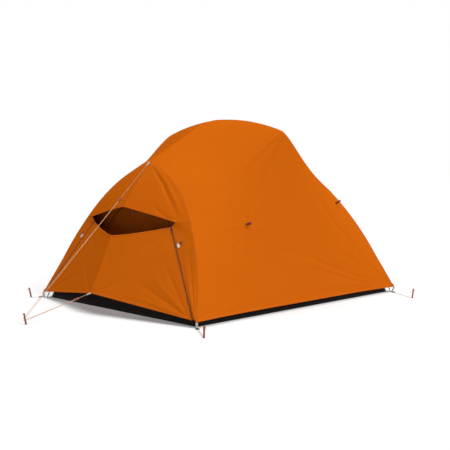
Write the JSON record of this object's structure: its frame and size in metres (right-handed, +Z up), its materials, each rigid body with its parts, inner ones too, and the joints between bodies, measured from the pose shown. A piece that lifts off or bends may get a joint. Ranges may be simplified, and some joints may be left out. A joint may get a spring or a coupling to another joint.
{
  "type": "tent",
  "caption": "Pitched hub-pole hiking tent: crossed ridge and spine poles on curved legs, clipped inner tent, taut fly with zipped doors under awnings, guyline, straps and pegs.",
  "frame": {"origin": "centre of the floor, on the ground", "axes": "+X to the side that the picture shows as the long right face, +Y from the front door to the rear door, +Z up"},
  "size_m": [2.1262, 3.0622, 1.3625],
  "materials": {
    "orange_fabric": "thin coated nylon, orange",
    "floor_fabric": "coated nylon, black",
    "inner_mesh": "fine mesh, dark brown",
    "inner_door_fabric": "fine mesh, dark brown",
    "black_zip": "moulded zip, black",
    "pole_alloy": "anodised tube",
    "elastic": "braided elastic",
    "black_plastic": "moulded",
    "white_plastic": "moulded",
    "black_webbing": "woven",
    "white_webbing": "woven",
    "red_webbing": "woven, dark red",
    "red_plastic": "moulded, dark red",
    "red_anodised": "anodised, dark red",
    "orange_cord": "thin cord",
    "beige_cord": "reflective cord, beige"
  },
  "bodies": {
    "tent": {"groundsheet": "floor_fabric", "inner_canopy": "inner_mesh", "inner_wall_front": "inner_mesh", "inner_wall_rear": "inner_mesh", "inner_door_front": "inner_door_fabric", "inner_door_rear": "inner_door_fabric", "inner_zips": "black_zip", "spine_pole": "pole_alloy", "ridge_pole": "pole_alloy", "leg_front_right": "pole_alloy", "leg_front_left": "pole_alloy", "leg_rear_right": "pole_alloy", "leg_rear_left": "pole_alloy", "pole_cords": "elastic", "hub_front": "black_plastic", "hub_rear": "black_plastic", "ridge_swivel": "black_plastic", "ridge_caps": "black_plastic", "pole_tips": "black_plastic", "foot_eyelets": "pole_alloy", "pole_joints": "pole_alloy", "pole_clips": "black_plastic", "fly_canopy": "orange_fabric", "fly_wing_front_right": "orange_fabric", "fly_wing_front_left": "orange_fabric", "fly_wing_rear_right": "orange_fabric", "fly_wing_rear_left": "orange_fabric", "awning_front": "orange_fabric", "awning_rear": "orange_fabric", "door_front": "orange_fabric", "door_rear": "orange_fabric", "zip_tracks_front": "black_zip", "zip_tracks_rear": "black_zip", "fly_ties": "black_webbing", "side_loops": "red_webbing", "guy_loops": "white_webbing", "hem_loops": "white_webbing", "toggle_loop": "black_webbing", "door_ties": "orange_fabric", "door_tie_discs": "white_plastic", "door_tie_hooks": "black_plastic", "corner_straps": "white_webbing", "corner_buckles": "black_plastic", "fly_corner_webs": "white_webbing", "corner_pegs": "red_anodised", "peg_pulls": "orange_cord", "guyline": "beige_cord", "hem_cord": "beige_cord", "front_peg": "red_anodised"},
    "slider_front_right": {"slider_front_right": "black_plastic"},
    "pull_front_right": {"pull_front_right": "black_plastic"},
    "slider_front_left": {"slider_front_left": "black_plastic"},
    "pull_front_left": {"pull_front_left": "black_plastic"},
    "slider_rear_right": {"slider_rear_right": "black_plastic"},
    "pull_rear_right": {"pull_rear_right": "black_plastic"},
    "slider_rear_left": {"slider_rear_left": "black_plastic"},
    "pull_rear_left": {"pull_rear_left": "black_plastic"},
    "guyline_tensioner": {"guyline_tensioner": "red_plastic"},
    "hem_tensioner": {"hem_tensioner": "red_plastic"},
    "awning_toggle": {"awning_toggle": "black_plastic"}
  },
  "joints": [
    {"name": "zip_front_right", "type": "slide", "parent": "tent", "child": "slider_front_right", "axis": [-0.5715, 0.2465, 0.7827], "range_m": [-0.659, 0.003]},
    {"name": "pull_front_right_swing", "type": "hinge", "parent": "slider_front_right", "child": "pull_front_right", "pos_m": [0.44194, -0.91391, 0.58785], "axis": [-0.781, -0.4563, -0.4265], "range_deg": [0, 150]},
    {"name": "zip_front_left", "type": "slide", "parent": "tent", "child": "slider_front_left", "axis": [0.5715, 0.2465, 0.7827], "range_m": [-0.659, 0.003]},
    {"name": "pull_front_left_swing", "type": "hinge", "parent": "slider_front_left", "child": "pull_front_left", "pos_m": [-0.44194, -0.91391, 0.58785], "axis": [-0.781, 0.4563, 0.4265], "range_deg": [0, 150]},
    {"name": "zip_rear_right", "type": "slide", "parent": "tent", "child": "slider_rear_right", "axis": [-0.5715, -0.2465, 0.7827], "range_m": [-0.659, 0.003]},
    {"name": "pull_rear_right_swing", "type": "hinge", "parent": "slider_rear_right", "child": "pull_rear_right", "pos_m": [0.44194, 0.91391, 0.58785], "axis": [0.781, -0.4563, 0.4265], "range_deg": [0, 150]},
    {"name": "zip_rear_left", "type": "slide", "parent": "tent", "child": "slider_rear_left", "axis": [0.5715, -0.2465, 0.7827], "range_m": [-0.659, 0.003]},
    {"name": "pull_rear_left_swing", "type": "hinge", "parent": "slider_rear_left", "child": "pull_rear_left", "pos_m": [-0.44194, 0.91391, 0.58785], "axis": [0.781, 0.4563, -0.4265], "range_deg": [0, 150]},
    {"name": "guyline_tensioner_slide", "type": "slide", "parent": "tent", "child": "guyline_tensioner", "axis": [0, -0.7212, -0.6927], "range_m": [0, 0.2]},
    {"name": "hem_tensioner_slide", "type": "slide", "parent": "tent", "child": "hem_tensioner", "axis": [0, -0.9731, -0.2305], "range_m": [0, 0.09]},
    {"name": "toggle_swing", "type": "hinge", "parent": "tent", "child": "awning_toggle", "pos_m": [0.09402, -0.958, 0.69799], "axis": [1, 0, 0], "range_deg": [-70, 70]}
  ]
}
